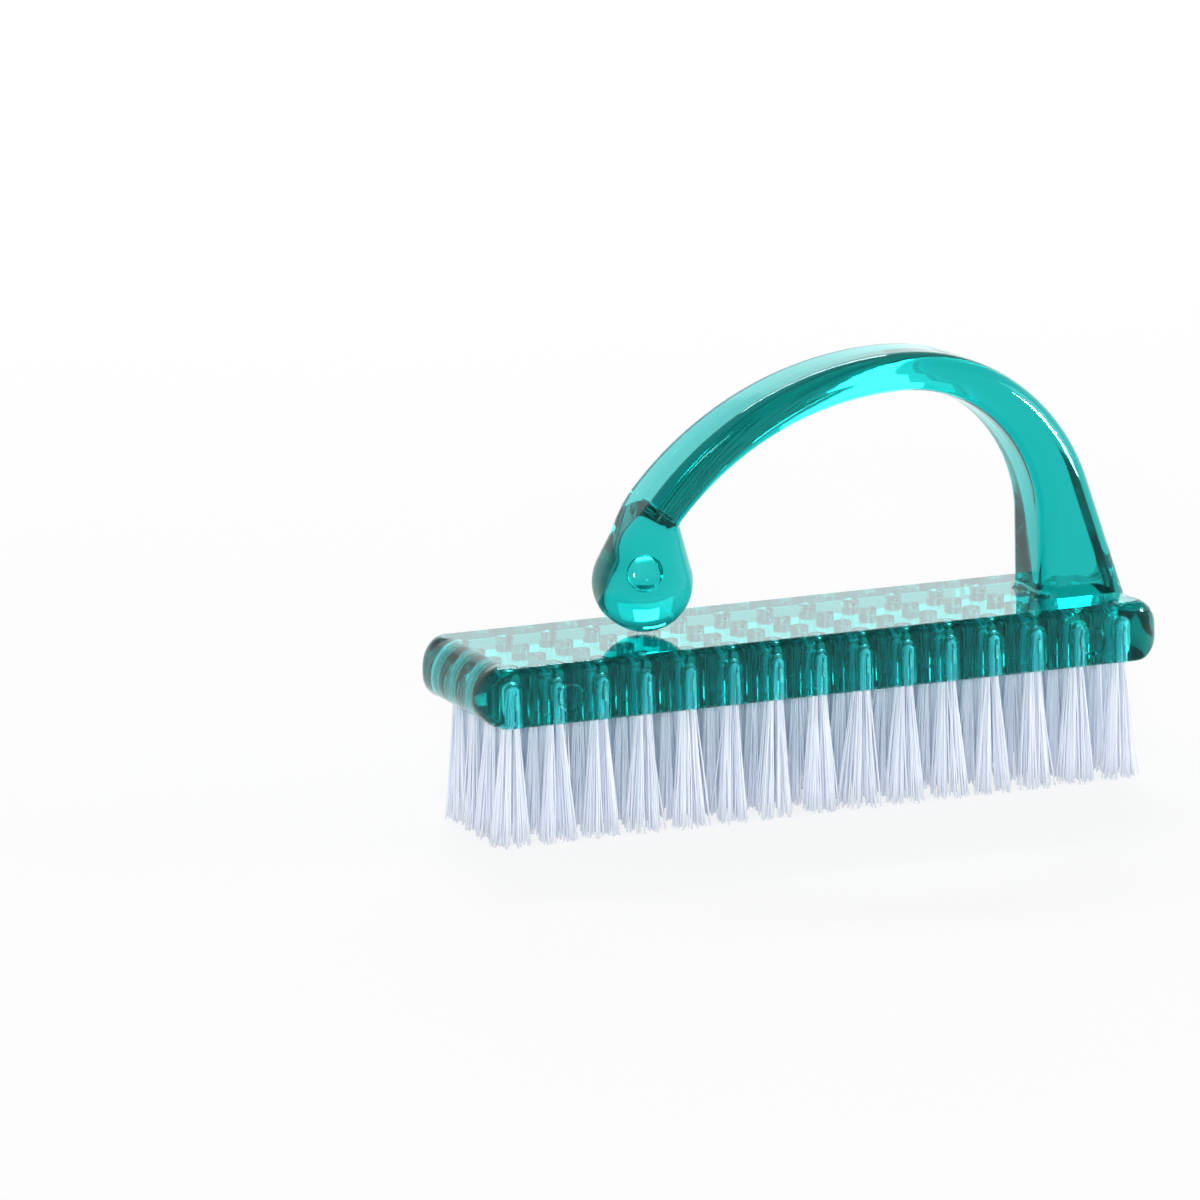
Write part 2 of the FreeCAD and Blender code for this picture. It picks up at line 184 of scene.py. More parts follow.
def noise_band(group: EffectGroup, scale: str, band: Point2, detail: float) -> bpy.types.NodeSocket:
    """Noise in a group, with one band of it stretched into 0 to 1.

    Args:
        group: The group that gets the nodes.
        scale: The group's input that holds the noise scale.
        band: The noise values that become 0 and 1.
        detail: The noise's detail.

    Returns:
        The socket with the stretched noise.
    """
    noise = add_node(group.tree, "ShaderNodeTexNoise")
    noise.inputs["Detail"].default_value = detail
    group.tree.links.new(group.inside.outputs["Place"], noise.inputs["Vector"])
    group.tree.links.new(group.inside.outputs[scale], noise.inputs["Scale"])
    return add_range(group.tree, noise.outputs["Fac"], band)


def make_flow_group(speck_share: float = 0.35) -> bpy.types.NodeTree:
    """Slow unevenness with fine specks, as polished mouldings and drawn filament have it.

    Args:
        speck_share: How strong the specks are beside the slow unevenness.

    Returns:
        The group's tree, with outputs Tone, Gloss and Height.
    """
    group = EffectGroup("SurfaceFlow")
    group.add_input("Place", Kind.VECTOR)
    group.add_input("Flow Scale", Kind.VALUE, 60.0)
    group.add_input("Speck Scale", Kind.VALUE, 900.0)
    group.add_input("Smooth", Kind.VALUE, 0.04)
    group.add_input("Dull", Kind.VALUE, 0.12)
    flow = noise_band(group, "Flow Scale", band=(0.3, 0.7), detail=2.0)
    speck = noise_band(group, "Speck Scale", band=(0.5, 0.8), detail=1.0)
    height = add_share(group.tree, speck, speck_share, flow)
    gloss = add_range(group.tree, height)
    group.tree.links.new(group.inside.outputs["Smooth"], gloss.node.inputs["To Min"])
    group.tree.links.new(group.inside.outputs["Dull"], gloss.node.inputs["To Max"])
    group.add_output("Tone", Kind.VALUE, flow)
    group.add_output("Gloss", Kind.VALUE, gloss)
    group.add_output("Height", Kind.VALUE, height)
    return group.tree


# Finishes


@dataclass(frozen=True)
class Finish:
    """What every finish has: a name and the shared flow effect's settings. Bump height in millimetres."""

    BUMP_HEIGHT = 0.05

    name: str
    flow_scale: float
    speck_scale: float
    smooth: float
    dull: float
    bump: float

    def start(self, flow: bpy.types.NodeTree) -> tuple[bpy.types.NodeTree, bpy.types.Node, bpy.types.Node]:
        """Begin a material with its Principled shader, bump and flow group.

        Args:
            flow: The shared flow group.

        Returns:
            The material's tree, its Principled shader and its flow node.
        """
        material = bpy.data.materials.new(self.name)
        material.use_nodes = True
        tree = material.node_tree
        shader = tree.nodes["Principled BSDF"]
        place = add_node(tree, "ShaderNodeTexCoord")
        effect = add_node(tree, "ShaderNodeGroup", node_tree=flow)
        effect.inputs["Flow Scale"].default_value = self.flow_scale
        effect.inputs["Speck Scale"].default_value = self.speck_scale
        effect.inputs["Smooth"].default_value = self.smooth
        effect.inputs["Dull"].default_value = self.dull
        bump = add_node(tree, "ShaderNodeBump")
        bump.inputs["Strength"].default_value = self.bump
        bump.inputs["Distance"].default_value = self.BUMP_HEIGHT * MM
        tree.links.new(place.outputs["Object"], effect.inputs["Place"])
        tree.links.new(effect.outputs["Height"], bump.inputs["Height"])
        tree.links.new(bump.outputs["Normal"], shader.inputs["Normal"])
        tree.links.new(effect.outputs["Gloss"], shader.inputs["Roughness"])
        return tree, shader, effect

    def material(self) -> bpy.types.Material:
        """The finished material."""
        return bpy.data.materials[self.name]


def mix_colours(tree: bpy.types.NodeTree, factor: bpy.types.NodeSocket,
                low: Colour, high: Colour) -> bpy.types.NodeSocket:
    """A ramp between two colours.

    Args:
        tree: The material's tree.
        factor: The value that picks a colour.
        low: The colour at 0.
        high: The colour at 1.

    Returns:
        The socket with the colour.
    """
    ramp = add_node(tree, "ShaderNodeValToRGB")
    ramp.color_ramp.elements[0].color = low
    ramp.color_ramp.elements[1].color = high
    tree.links.new(factor, ramp.inputs["Fac"])
    return ramp.outputs["Color"]


@dataclass(frozen=True)
class ClearPlastic(Finish):
    """Polished clear polystyrene, tinted through its whole thickness."""

    index: float = 1.52
    mirror: Colour = (0.22, 0.9, 0.9, 1.0)
    drilled: float = 0.12
    tint_pale: Colour = (0.97, 1.0, 1.0, 1.0)
    tint_deep: Colour = (0.90, 0.985, 0.985, 1.0)
    absorbed: Colour = (0.02, 0.859, 0.85, 1.0)
    density: float = 440.0

    def build(self, flow: bpy.types.NodeTree) -> bpy.types.Material:
        """Make the material.

        Args:
            flow: The shared flow group.

        Returns:
            The material.
        """
        tree, shader, effect = self.start(flow)
        tint = mix_colours(tree, effect.outputs["Tone"], self.tint_pale, self.tint_deep)
        tree.links.new(tint, shader.inputs["Base Color"])
        walls = add_node(tree, "ShaderNodeAttribute", attribute_name=BrushBody.DRILLED)
        gloss = add_share(tree, walls.outputs["Fac"], self.drilled, effect.outputs["Gloss"])
        tree.links.new(gloss, shader.inputs["Roughness"])
        shader.inputs["Transmission Weight"].default_value = 1.0
        shader.inputs["IOR"].default_value = self.index
        shader.inputs["Specular Tint"].default_value = self.mirror
        inside = add_node(tree, "ShaderNodeVolumeAbsorption")
        inside.inputs["Color"].default_value = self.absorbed
        inside.inputs["Density"].default_value = self.density
        tree.links.new(inside.outputs["Volume"], tree.nodes["Material Output"].inputs["Volume"])
        return self.material()


@dataclass(frozen=True)
class NylonFilament(Finish):
    """Drawn nylon: milky and slightly see-through, each strand a little different, with painted shade on the
    strands inside the tuft holes.
    """

    dim: Colour = (0.95, 0.965, 0.985, 1.0)
    bright: Colour = (0.98, 0.988, 0.998, 1.0)
    # Painted shade: the darker colour given to strands inside the tuft holes.
    held: Colour = (0.54, 0.66, 0.68, 1.0)
    uneven: float = 0.3
    index: float = 1.53
    clear: float = 0.75

    def build(self, flow: bpy.types.NodeTree) -> bpy.types.Material:
        """Make the material.

        Args:
            flow: The shared flow group.

        Returns:
            The material.
        """
        tree, shader, effect = self.start(flow)
        strand = add_node(tree, "ShaderNodeAttribute", attribute_name=Filaments.STRAND)
        blend = add_share(tree, effect.outputs["Tone"], self.uneven, strand.outputs["Fac"])
        # Painted shade in the tuft holes: strands above the block's underside are mixed towards the darker
        # held colour.
        hole_shade_mask = add_node(tree, "ShaderNodeAttribute", attribute_name=Filaments.HOLE_SHADE)
        hole_shade_mix = add_node(tree, "ShaderNodeMix", data_type="RGBA")
        hole_shade_mix.inputs["B"].default_value = self.held
        tree.links.new(hole_shade_mask.outputs["Fac"], hole_shade_mix.inputs["Factor"])
        tree.links.new(mix_colours(tree, blend, self.dim, self.bright), hole_shade_mix.inputs["A"])
        tree.links.new(hole_shade_mix.outputs["Result"], shader.inputs["Base Color"])
        shader.inputs["IOR"].default_value = self.index
        shader.inputs["Transmission Weight"].default_value = self.clear
        return self.material()


@dataclass(frozen=True)
class FlatWire(Finish):
    """Bright drawn wire with a slow unevenness and fine specks."""

    shade: Colour = (0.62, 0.62, 0.61, 1.0)
    shine: Colour = (0.86, 0.86, 0.84, 1.0)

    def build(self, flow: bpy.types.NodeTree) -> bpy.types.Material:
        """Make the material.

        Args:
            flow: The shared flow group.

        Returns:
            The material.
        """
        tree, shader, effect = self.start(flow)
        tone = mix_colours(tree, effect.outputs["Tone"], self.shade, self.shine)
        tree.links.new(tone, shader.inputs["Base Color"])
        shader.inputs["Metallic"].default_value = 1.0
        return self.material()


# Mesh helpers


def new_object(name: str, mesh: bpy.types.Mesh) -> bpy.types.Object:
    """Put a mesh into the scene.

    Args:
        name: The object's name.
        mesh: Its mesh.

    Returns:
        The object.
    """
    item = bpy.data.objects.new(name, mesh)
    bpy.context.scene.collection.objects.link(item)
    return item


def object_from(name: str, shape: bmesh.types.BMesh) -> bpy.types.Object:
    """Turn a finished shape into an object and let the shape go.

    Args:
        name: The object's name.
        shape: The shape, in metres.

    Returns:
        The object.
    """
    mesh = bpy.data.meshes.new(name)
    shape.to_mesh(mesh)
    shape.free()
    return new_object(name, mesh)


def skin(shape: bmesh.types.BMesh, loops: list[list[bmesh.types.BMVert]]) -> None:
    """Join loops of equally many points with faces, and cap both ends.

    Args:
        shape: The shape that gets the faces.
        loops: The loops in order.
    """
    count = len(loops[0])
    for lower, upper in zip(loops, loops[1:]):
        for index in range(count):
            following = (index + 1) % count
            shape.faces.new((lower[index], lower[following], upper[following], upper[index]))
    shape.faces.new(loops[0])
    shape.faces.new(loops[-1])


def mesh_from_rings(name: str, rings: list[list[Vector]]) -> bpy.types.Object:
    """A closed shape of rings with equally many points, capped at both ends.

    Args:
        name: The object's name.
        rings: The rings in order, in millimetres.

    Returns:
        The object, with its faces turned outwards.
    """
    shape = bmesh.new()
    skin(shape, [[shape.verts.new(point * MM) for point in ring] for ring in rings])
    bmesh.ops.recalc_face_normals(shape, faces=shape.faces)
    return object_from(name, shape)


def combine(base: bpy.types.Object, tool: bpy.types.Object, operation: str) -> None:
    """Fuse a tool to a base, or cut it out, and take the tool out of the scene.

    Args:
        base: The object that changes.
        tool: The object that is used up.
        operation: UNION or DIFFERENCE.
    """
    change = base.modifiers.new(operation, "BOOLEAN")
    change.operation = operation
    change.object = tool
    change.solver = "EXACT"
    graph = bpy.context.evaluated_depsgraph_get()
    mesh = bpy.data.meshes.new_from_object(base.evaluated_get(graph))
    base.modifiers.clear()
    base.data = mesh
    bpy.data.objects.remove(tool)


def ease(share: float) -> float:
    """A share from 0 to 1 that starts and ends slowly."""
    return share * share * (3 - 2 * share)


# Outline of the handle, seen from the side


@dataclass(frozen=True)
class Arc:
    """A circular arc between two angles in degrees."""

    FEWEST = 4

    centre: Vector
    radius: float
    start: float
    end: float

    def points(self, step: float) -> list[Vector]:
        """Points along the arc, without its last one.

        Args:
            step: The largest angle between points, in degrees.

        Returns:
            The points.
        """
        sweep = self.end - self.start
        count = max(self.FEWEST, math.ceil(abs(sweep) / step))
        angles = [math.radians(self.start + sweep * index / count) for index in range(count)]
        return [self.centre + self.radius * Vector((math.cos(a), math.sin(a))) for a in angles]


@dataclass(frozen=True)
class Line:
    """A straight run, given by its first point."""

    first: Vector

    def points(self, step: float) -> list[Vector]:
        """The run's first point."""
        return [self.first]


def inward_runs(loop: list[Vector], least: float = 0.3) -> list[Vector]:
    """How each point of a closed loop moves when its edges move inwards by one.

    Args:
        loop: The points, counter-clockwise.
        least: The least cosine at a corner, which keeps a sharp one from running far.

    Returns:
        One vector for each point.
    """
    runs = []
    for index, point in enumerate(loop):
        before = (point - loop[index - 1]).normalized()
        after = (loop[(index + 1) % len(loop)] - point).normalized()
        normals = [Vector((-run.y, run.x)) for run in (before, after)]
        bisector = (normals[0] + normals[1]).normalized()
        runs.append(bisector / max(bisector.dot(normals[0]), least))
    return runs


def room_inside(loop: list[Vector], runs: list[Vector], tiny: float = 1e-6) -> list[float]:
    """The radius of the largest circle inside a loop that touches it at each point.

    Args:
        loop: The points, counter-clockwise.
        runs: The loop's inward runs.
        tiny: How far inwards another point has to lie to count.

    Returns:
        One radius for each point.
    """
    room = []
    for point, run in zip(loop, runs):
        inward = run.normalized()
        apart = [other - point for other in loop if (other - point).dot(inward) > tiny]
        room.append(min(gap.length_squared / (2 * gap.dot(inward)) for gap in apart))
    return room


# The brush


@dataclass
class BrushBody:
    """The one clear moulding: block, finger handle and its free round end. Sizes in millimetres."""

    DRILLED = "drilled"

    block_height: float = 7.7
    block_corner: float = 4.2
    top_side_radius: float = 1.2
    top_end_radius: float = 4.0
    bottom_side_radius: float = 0.5
    bottom_end_radius: float = 3.4
    handle_width: float = 11.0
    handle_edge: float = 2.4
    bulb_edge: float = 4.8
    edge_blend: Point2 = (6.5, 11.0)
    room_share: float = 0.96
    tight_share: float = 0.25
    crown_x: float = 14.5
    crown_thickness: float = 5.0
    shoulder_radius: float = 27.0
    leg_lean: float = 18.0
    leg_inner_x: float = 33.2
    foot_radius: float = 1.2
    foot_sink: float = 0.06
    root_depth: float = 5.0
    root_reach: float = 3.0
    bulb_x: float = -20.3
    bulb_radius: float = 6.3
    bulb_clearance: float = 0.4
    neck_lean: float = 19.0
    notch_radius: float = 0.6
    recess_radius: float = 2.4
    recess_depth: float = 2.2
    recess_end: float = 2.2
    recess_offset: Point2 = (-1.8, 2.2)
    mark_radius: float = 1.85
    mark_depth: float = 0.2
    mark_slope: float = 0.3
    mark_rise: float = 3.3
    mark_places: tuple[float, float] = (-35.3, 36.7)
    hole_radius: float = 1.15
    hole_depth: float = 5.6
    end_turn: float = 0.96
    overrun: float = 1.0
    weld: float = 0.001
    wall_margin: float = 0.01
    crease: float = 32.0
    corner_steps: int = 12
    round_steps: int = 8
    arc_step: float = 2.5
    hole_sides: int = 32

    def __post_init__(self) -> None:
        """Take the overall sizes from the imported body."""
        low, high = (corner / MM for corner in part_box("brush_body"))
        self.floor = low.z
        self.half_length = high.x
        self.half_width = high.y
        self.crown_rise = high.z - low.z

    def at(self, x: float, y: float, rise: float) -> Vector:
        """A point at a height above the block's underside."""
        return Vector((x, y, self.floor + rise))

    def bulb(self) -> Vector:
        """The middle of the free round end, in X and rise."""
        return Vector((self.bulb_x, self.block_height + self.bulb_clearance + self.bulb_radius))

    def build(self, tufts: list[Point2]) -> bpy.types.Object:
        """Make the moulding.

        Args:
            tufts: The places of the tufts, in millimetres.

        Returns:
            The moulding's object.
        """
        body = self.block()
        body.name = "clear_moulding"
        combine(body, self.handle(), "UNION")
        combine(body, self.cutters(tufts), "DIFFERENCE")
        self.soften(body)
        self.mark_drilled(body, tufts)
        return body

    def block(self) -> bpy.types.Object:
        """The block, rounder along its two ends than along its sides.

        Returns:
            The block's object.
        """
        rings = []
        for radii, level, turn in (((self.bottom_end_radius, self.bottom_side_radius), 0.0, 1),
                                   ((self.top_end_radius, self.top_side_radius), self.block_height, -1)):
            stack = []
            for step in range(self.round_steps + 1):
                angle = QUARTER * step / self.round_steps
                stack.append(self.plan_ring(radii, angle, level, turn))
            rings += stack if turn > 0 else stack[::-1]
        return mesh_from_rings("block", rings)

    def plan_ring(self, radii: Point2, angle: float, level: float, turn: int) -> list[Vector]:
        """One ring round the block, on its rounded edge.

        Args:
            radii: The edge radius at the ends and along the sides.
            angle: Where on the rounded edge, from the flat face at 0 to the wall.
            level: The height of the flat face.
            turn: 1 where the wall goes up from that face, -1 where it goes down.

        Returns:
            The ring's points, counter-clockwise.
        """
        ring = []
        for quarter, (side_x, side_y) in enumerate(((1, 1), (-1, 1), (-1, -1), (1, -1))):
            for step in range(self.corner_steps + 1):
                turned = QUARTER * step / self.corner_steps
                share = turned / (QUARTER) if quarter % 2 == 0 else 1 - turned / (QUARTER)
                radius = radii[0] + (radii[1] - radii[0]) * ease(share)
                reach = self.block_corner - radius * (1 - math.sin(angle))
                around = turned + QUARTER * quarter
                x = side_x * (self.half_length - self.block_corner) + reach * math.cos(around)
                y = side_y * (self.half_width - self.block_corner) + reach * math.sin(around)
                ring.append(self.at(x, y, level + turn * radius * (1 - math.cos(angle))))
        return ring

    def outline(self) -> list[Vector]:
        """The handle's side outline.

        Returns:
            Its points, counter-clockwise in X and rise.
        """
        crown = Vector((self.crown_x, self.crown_rise))
        bulb = self.bulb()
        apart = crown - bulb
        back_radius = (apart.length_squared - self.bulb_radius**2) / (2 * (apart.y - self.bulb_radius))
        back = crown - Vector((0, back_radius))
        back_end = math.degrees(math.atan2(bulb.y - back.y, bulb.x - back.x))
        inner_radius = back_radius - self.crown_thickness
        lean = math.radians(self.neck_lean)
        across = Vector((math.cos(lean), math.sin(lean)))
        along = Vector((-math.sin(lean), math.cos(lean)))
        neck = bulb + self.bulb_radius * across
        start = neck + self.notch_radius * across - back
        reach = -start.dot(along) + math.sqrt(start.dot(along)**2 - start.length_squared
                                              + (inner_radius - self.notch_radius)**2)
        notch = neck + self.notch_radius * across + reach * along
        notch_end = math.degrees(math.atan2(notch.y - back.y, notch.x - back.x))
        shoulder = crown - Vector((0, self.shoulder_radius))
        leg_lean = math.radians(self.leg_lean)
        leg_top = shoulder + self.shoulder_radius * Vector((math.cos(leg_lean), math.sin(leg_lean)))
        root_rise = self.block_height - self.root_depth
        root = Vector((leg_top.x + (leg_top.y - root_rise) * math.tan(leg_lean), root_rise))
        front_radius = self.leg_inner_x - self.crown_x
        front = crown - Vector((0, self.crown_thickness + front_radius))
        foot_rise = self.block_height - self.foot_sink + self.foot_radius
        foot = Vector((self.leg_inner_x - self.foot_radius, foot_rise))
        runs = [
            Arc(back, back_radius, 90, back_end),
            Arc(bulb, self.bulb_radius, back_end, 360 + self.neck_lean),
            Line(neck),
            Arc(notch, self.notch_radius, 180 + self.neck_lean, notch_end),
            Arc(back, inner_radius, notch_end, 90),
            Arc(front, front_radius, 90, 0),
            Line(front + Vector((front_radius, 0))),
            Arc(foot, self.foot_radius, 0, -90),
            Line(foot - Vector((0, self.foot_radius))),
            Line(foot - Vector((self.root_reach, self.foot_radius))),
            Line(Vector((foot.x - self.root_reach, root_rise))),
            Line(root),
            Arc(shoulder, self.shoulder_radius, self.leg_lean, 90),
        ]
        return [point for run in runs for point in run.points(self.arc_step)]

    def handle(self) -> bpy.types.Object:
        """The open loop of the handle with its rounded edges.

        Returns:
            The handle's object.
        """
        outline = self.outline()
        runs = inward_runs(outline)
        edges = self.edge_radii(outline, runs)
        half = self.handle_width / 2
        rings = []
        for side in (-1, 1):
            stack = []
            for step in range(self.round_steps + 1):
                angle = QUARTER * step / self.round_steps
                ring = []
                for point, run, edge in zip(outline, runs, edges):
                    moved = point + run * edge * (1 - math.sin(angle))
                    ring.append(self.at(moved.x, side * (half - edge * (1 - math.cos(angle))), moved.y))
                stack.append(ring)
            rings += stack if side < 0 else stack[::-1]
        return mesh_from_rings("handle", rings)

    def edge_radii(self, outline: list[Vector], runs: list[Vector]) -> list[float]:
        """How round the handle's edge is at each point of its outline.

        Args:
            outline: The outline's points.
            runs: Their inward runs.

        Returns:
            The radii, largest round the free end.
        """
        bulb = self.bulb()
        near, far = self.edge_blend
        radii = []
        for point, room in zip(outline, room_inside(outline, runs)):
            share = min(max(((point - bulb).length - near) / (far - near), 0.0), 1.0)
            edge = self.bulb_edge + (self.handle_edge - self.bulb_edge) * ease(share)
            tight = room < self.tight_share * self.crown_thickness
            radii.append(edge if tight else min(edge, self.room_share * room))
        return radii

    def cutters(self, tufts: list[Point2]) -> bpy.types.Object:
        """What is cut out: tuft holes, the recess in the bulb and the two shallow marks.

        Args:
            tufts: The places of the tufts, in millimetres.

        Returns:
            The cutters, as one object.
        """
        shape = bmesh.new()
        hole = self.round_ended(self.hole_radius, self.hole_depth, self.hole_radius)
        for x, y in tufts:
            self.add_cutter(shape, Matrix.Translation(self.at(x, y, 0)), hole, self.hole_sides)
        from_front = Matrix.Rotation(-QUARTER, 4, "X")
        middle = self.bulb() + Vector(self.recess_offset)
        place = Matrix.Translation(self.at(middle.x, -self.handle_width / 2, middle.y))
        recess = self.round_ended(self.recess_radius, self.recess_depth, self.recess_end)
        self.add_cutter(shape, place @ from_front, recess, 2 * self.hole_sides)
        dish = [(self.mark_radius, -self.overrun), (self.mark_radius, 0.0),
                (self.mark_radius - self.mark_slope, self.mark_depth)]
        for x in self.mark_places:
            place = Matrix.Translation(self.at(x, -self.half_width, self.mark_rise))
            self.add_cutter(shape, place @ from_front, dish, 2 * self.hole_sides)
        bmesh.ops.recalc_face_normals(shape, faces=shape.faces)
        return object_from("cutters", shape)

    def round_ended(self, radius: float, depth: float, end_radius: float) -> list[Point2]:
        """The half section of a round cutter with a rounded end.

        Args:
            radius: The cutter's radius.
            depth: How deep it cuts.
            end_radius: The rounding of its end.

        Returns:
            Radius and depth of each ring, from outside the face inwards.
        """
        profile = [(radius, -self.overrun)]
        for step in range(self.round_steps + 1):
            angle = self.end_turn * QUARTER * step / self.round_steps
            inward = end_radius * (1 - math.cos(angle))
            short = end_radius * (1 - math.sin(angle))
            profile.append((radius - inward, depth - short))
        return profile

    def add_cutter(self, shape: bmesh.types.BMesh, place: Matrix, profile: list[Point2], sides: int) -> None:
        """Turn a half section about its axis and add it to the cutters.

        Args:
            shape: The cutters.
            place: Where the face is, with Z along the cut, in millimetres.
            profile: Radius and depth of each ring.
            sides: How many sides a ring has.
        """
        loops = []
        for radius, depth in profile:
            angles = [math.tau * side / sides for side in range(sides)]
            ring = [place @ Vector((radius * math.cos(a), radius * math.sin(a), depth)) for a in angles]
            loops.append([shape.verts.new(point * MM) for point in ring])
        skin(shape, loops)

    def soften(self, body: bpy.types.Object) -> None:
        """Shade the moulding smooth, with crisp edges only where faces really meet at an angle.

        Args:
            body: The moulding.
        """
        shape = bmesh.new()
        shape.from_mesh(body.data)
        bmesh.ops.remove_doubles(shape, verts=shape.verts, dist=self.weld * MM)
        bmesh.ops.dissolve_degenerate(shape, edges=shape.edges, dist=self.weld * MM)
        for face in shape.faces:
            face.smooth = True
        for edge in shape.edges:
            edge.smooth = len(edge.link_faces) == 2 and edge.calc_face_angle() < math.radians(self.crease)
        shape.to_mesh(body.data)
        shape.free()
        level = body.modifiers.new("flat faces stay flat", "WEIGHTED_NORMAL")
        level.mode = "FACE_AREA"
        level.keep_sharp = True

    def mark_drilled(self, body: bpy.types.Object, tufts: list[Point2]) -> None:
        """Note which faces are walls of tuft holes, which the drill leaves dull.

        Args:
            body: The moulding.
            tufts: The places of the tufts, in millimetres.
        """
        lowest = self.floor + self.wall_margin
        reach = self.hole_radius + self.wall_margin
        values = []
        for face in body.data.polygons:
            centre = face.center / MM
            inside = lowest < centre.z < lowest + self.hole_depth
            wall = inside and any(math.hypot(centre.x - x, centre.y - y) < reach for x, y in tufts)
            values.append(1.0 if wall else 0.0)
        body.data.attributes.new(self.DRILLED, "FLOAT", "FACE").data.foreach_set("value", values)

    def dress(self, body: bpy.types.Object, finish: bpy.types.Material) -> None:
        """Give the moulding its finish and tie it to the frame.

        Args:
            body: The moulding.
            finish: Its material.
        """
        body.data.materials.clear()
        body.data.materials.append(finish)
        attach(body, BODY)
        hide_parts("brush_body")


@dataclass
class Filaments:
    """Strands of nylon folded over their anchors, one object for each row of tufts. Sizes in millimetres."""

    STRAND = "strand"
    # Mask of the points inside the tuft holes, where the nylon material paints shade.
    HOLE_SHADE = "held"

    per_tuft: int = 32
    radius: float = 0.105
    sides: int = 6
    bundle_radius: float = 1.03
    narrowest: float = 0.85
    anchor_half: float = 0.28
    straight_share: float = 0.45
    fold_rise: float = 4.6
    fold_width: float = 0.75
    fold_drop: float = 0.45
    mouth_rise: float = 0.15
    fold_spread: float = 0.5
    free_length: float = 16.0
    spread: float = 1.15
    tuft_lean: float = 0.15
    bow: float = 0.3
    stray_chance: float = 0.08
    stray: float = 0.9
    shortest: float = 1.3
    short_power: float = 2.2
    tip_gap: float = 0.04
    free_steps: int = 5
    seed: int = 1100

    def build(self, row: int, places: list[Point2], floor: float) -> bpy.types.Object:
        """Make one row of tufts.

        Args:
            row: The row's number, from 1.
            places: The tufts' places, in millimetres.
            floor: The height of the block's underside, in millimetres.

        Returns:
            The row's object.
        """
        dice = random.Random(self.seed + row)
        points: list[Vector] = []
        faces: list[tuple[int, ...]] = []
        strands: list[float] = []
        for x, y in places:
            lean = Vector((dice.gauss(0, self.tuft_lean), dice.gauss(0, self.tuft_lean)))
            for _ in range(self.per_tuft):
                path = self.path(dice, Vector((x, y, floor)), lean)
                self.sweep(path, points, faces)
                strands += [dice.random()] * (len(points) - len(strands))
        name = f"bristles_{row:02d}"
        mesh = bpy.data.meshes.new(name)
        mesh.from_pydata([point * MM for point in points], [], faces)
        mesh.attributes.new(self.STRAND, "FLOAT", "POINT").data.foreach_set("value", strands)
        # Points above the block's underside lie in the tuft holes and get painted shade.
        held = [1.0 if point.z > floor else 0.0 for point in points]
        mesh.attributes.new(self.HOLE_SHADE, "FLOAT", "POINT").data.foreach_set("value", held)
        mesh.polygons.foreach_set("use_smooth", [True] * len(faces))
        mesh.update()
        return new_object(name, mesh)

    def path(self, dice: random.Random, mouth: Vector, lean: Vector) -> list[Vector]:
        """The line of one strand from tip to tip.

        Args:
            dice: The row's own random numbers.
            mouth: The middle of the tuft's hole at the block's underside.
            lean: How far the whole tuft leans at its tips.

        Returns:
            Points along the strand.
        """
        reach = self.bundle_radius * math.sqrt(dice.random())
        angle = dice.uniform(-QUARTER, QUARTER)
        across = reach * math.sin(angle)
        apart = abs(math.cos(angle)) * reach / self.bundle_radius
        out = self.anchor_half + (self.bundle_radius - self.anchor_half) * apart
        legs = []
        for side in (-1, 1):
            root = Vector((side * out, across * dice.uniform(self.narrowest, 1.0), 0))
            wide = self.stray if dice.random() < self.stray_chance else self.bow
            tip = Vector((root.x * (1 + self.spread) + lean.x + self.swing(dice, wide),
                          root.y * (1 + self.spread) + lean.y + self.swing(dice, wide),
                          -self.free_length + self.tip_gap + self.shortest * dice.random()**self.short_power))
            bend = Vector((dice.gauss(0, self.bow), dice.gauss(0, self.bow), 0))
            held = (self.fold_rise * self.straight_share, self.mouth_rise)
            leg = [root + Vector((0, 0, rise)) for rise in held]
            for step in range(self.free_steps + 1):
                share = step / self.free_steps
                leg.append(root.lerp(tip, share) + bend * share * (1 - share))
            legs.append(leg)
        top = self.fold_rise + self.fold_spread * dice.random()
        wide, low = out * self.fold_width, top - self.fold_drop
        fold = [Vector((-wide, across, low)), Vector((0, across, top)), Vector((wide, across, low))]
        return [mouth + point for point in [*reversed(legs[0]), *fold, *legs[1]]]

    def swing(self, dice: random.Random, width: float) -> float:
        """A random sideways step, at most twice the width."""
        return max(-2 * width, min(2 * width, dice.gauss(0, width)))

    def sweep(self, path: list[Vector], points: list[Vector], faces: list[tuple[int, ...]]) -> None:
        """Run a round section along a path and close both ends.

        Args:
            path: The strand's line.
            points: The row's points, which grow.
            faces: The row's faces, which grow.
        """
        first = len(points)
        across = Vector((0, 1, 0))
        for index, point in enumerate(path):
            ahead = path[min(index + 1, len(path) - 1)]
            behind = path[max(index - 1, 0)]
            run = (ahead - behind).normalized()
            side = run.cross(across).normalized()
            up = side.cross(run)
            for step in range(self.sides):
                turn = math.tau * step / self.sides
                points.append(point + self.radius * (side * math.cos(turn) + up * math.sin(turn)))
        for ring in range(len(path) - 1):
            start = first + ring * self.sides
            for step in range(self.sides):
                following = (step + 1) % self.sides
                faces.append((start + step, start + following,
                              start + self.sides + following, start + self.sides + step))
        last = first + (len(path) - 1) * self.sides
        faces.append(tuple(range(first + self.sides - 1, first - 1, -1)))
        faces.append(tuple(range(last, last + self.sides)))

    def dress(self, item: bpy.types.Object, row: int, finish: bpy.types.Material) -> None:
        """Give a row of tufts its finish and tie it to the frame.

        Args:
            item: The row's object.
            row: The row's number.
            finish: Its material.
        """
        item.data.materials.append(finish)
        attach(item, BODY)
        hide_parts(f"tuft_row_{row:02d}")


